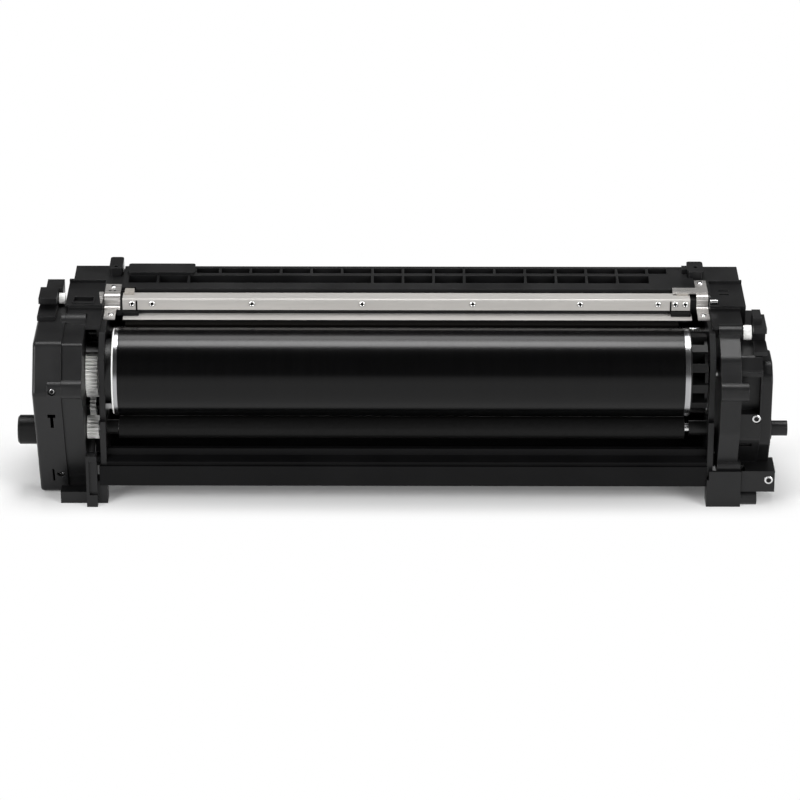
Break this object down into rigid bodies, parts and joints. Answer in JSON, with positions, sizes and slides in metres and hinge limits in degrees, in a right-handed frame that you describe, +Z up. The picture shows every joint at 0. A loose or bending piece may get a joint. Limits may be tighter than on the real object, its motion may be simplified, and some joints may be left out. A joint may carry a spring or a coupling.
{
  "type": "printer drum unit",
  "caption": "Laser printer drum unit: long photoconductor drum between gear-driven end housings, with charge roller below and metal blade bracket and ribbed frame above.",
  "frame": {"origin": "on the surface that the feet stand on, midway along the drum and midway from front to back", "axes": "+X along the drum to the locating stub, +Y away from the drum's exposed front, +Z up"},
  "size_m": [0.5228, 0.1371, 0.132],
  "materials": {
    "black_moulding": "satin moulded",
    "black_acetal": "satin",
    "plated_steel": "zinc-plated, finely brushed",
    "bright_steel": "turned and plated",
    "blade_rubber": "smooth polyurethane",
    "tan_felt": "felt",
    "white_acetal": "satin moulded",
    "film": "thin polyester film",
    "grey_acetal": "satin moulded",
    "drum_coating": "glossy photoconductor on turned aluminium",
    "roller_rubber": "ground rubber",
    "sponge": "foam",
    "brush_fur": "short pile",
    "black_foam": "open-cell foam"
  },
  "bodies": {
    "housing": {"rear_frame": "black_moulding", "deck_cover": "black_moulding", "lower_beam": "black_moulding", "left_end_frame": "black_moulding", "right_end_frame": "black_moulding", "left_gear_case": "black_moulding", "left_gear_cover": "black_moulding", "right_bearing_plate": "black_moulding", "right_cover": "black_moulding", "right_end_plate": "black_moulding", "blade_bracket": "plated_steel", "blade_holder": "plated_steel", "blade_screws": "bright_steel", "cleaning_blade": "blade_rubber", "end_seals": "black_foam", "left_strap": "plated_steel", "right_strap": "plated_steel", "strap_screws": "bright_steel", "left_pad": "tan_felt", "right_pad": "tan_felt", "cover_screws": "bright_steel", "left_hook": "black_moulding", "right_hook": "black_moulding", "left_collar": "white_acetal", "right_collar": "white_acetal", "earth_pin": "bright_steel", "recovery_seal": "film", "left_drum_bearing": "grey_acetal", "right_drum_bearing": "grey_acetal", "left_charge_bearing": "black_acetal", "right_charge_bearing": "black_acetal", "charge_leaves": "bright_steel"},
    "drum": {"drum_tube": "drum_coating", "drum_shaft": "bright_steel", "drum_gear": "white_acetal", "drum_flange_right": "black_acetal", "drive_gear": "grey_acetal"},
    "charge": {"charge_roller": "roller_rubber", "charge_shaft": "bright_steel", "charge_gear": "white_acetal"},
    "idler": {"charge_idler": "white_acetal"},
    "cleaner": {"cleaner_roller": "sponge", "cleaner_shaft": "bright_steel"},
    "brush": {"brush_roller": "brush_fur", "brush_shaft": "bright_steel", "brush_gear": "grey_acetal"},
    "auger": {"waste_auger": "grey_acetal", "auger_gear": "grey_acetal"},
    "coupling": {"drive_coupling": "black_acetal", "coupling_gear": "grey_acetal"}
  },
  "joints": [
    {"name": "drum_spin", "type": "hinge", "parent": "housing", "child": "drum", "pos_m": [0, -0.024, 0.087], "axis": [1, 0, 0], "continuous": true},
    {"name": "charge_spin", "type": "hinge", "parent": "housing", "child": "charge", "pos_m": [0, -0.03637, 0.05107], "axis": [1, 0, 0], "continuous": true},
    {"name": "idler_spin", "type": "hinge", "parent": "housing", "child": "idler", "pos_m": [0, -0.02924, 0.06358], "axis": [1, 0, 0], "continuous": true},
    {"name": "cleaner_spin", "type": "hinge", "parent": "housing", "child": "cleaner", "pos_m": [0, -0.02641, 0.04532], "axis": [1, 0, 0], "continuous": true},
    {"name": "brush_spin", "type": "hinge", "parent": "housing", "child": "brush", "pos_m": [0, 0.00942, 0.10258], "axis": [1, 0, 0], "continuous": true},
    {"name": "auger_spin", "type": "hinge", "parent": "housing", "child": "auger", "pos_m": [0, 0.02632, 0.09075], "axis": [1, 0, 0], "continuous": true},
    {"name": "coupling_spin", "type": "hinge", "parent": "housing", "child": "coupling", "pos_m": [0, -0.024, 0.04325], "axis": [1, 0, 0], "continuous": true}
  ],
  "couplings": [
    {"joint": "idler_spin", "follows": "drum_spin", "ratio": -2.3333},
    {"joint": "charge_spin", "follows": "drum_spin", "ratio": 2.3333},
    {"joint": "cleaner_spin", "follows": "drum_spin", "ratio": -5.1333},
    {"joint": "brush_spin", "follows": "drum_spin", "ratio": -2.9333},
    {"joint": "auger_spin", "follows": "drum_spin", "ratio": 2.4444},
    {"joint": "coupling_spin", "follows": "drum_spin", "ratio": -1.6923}
  ]
}
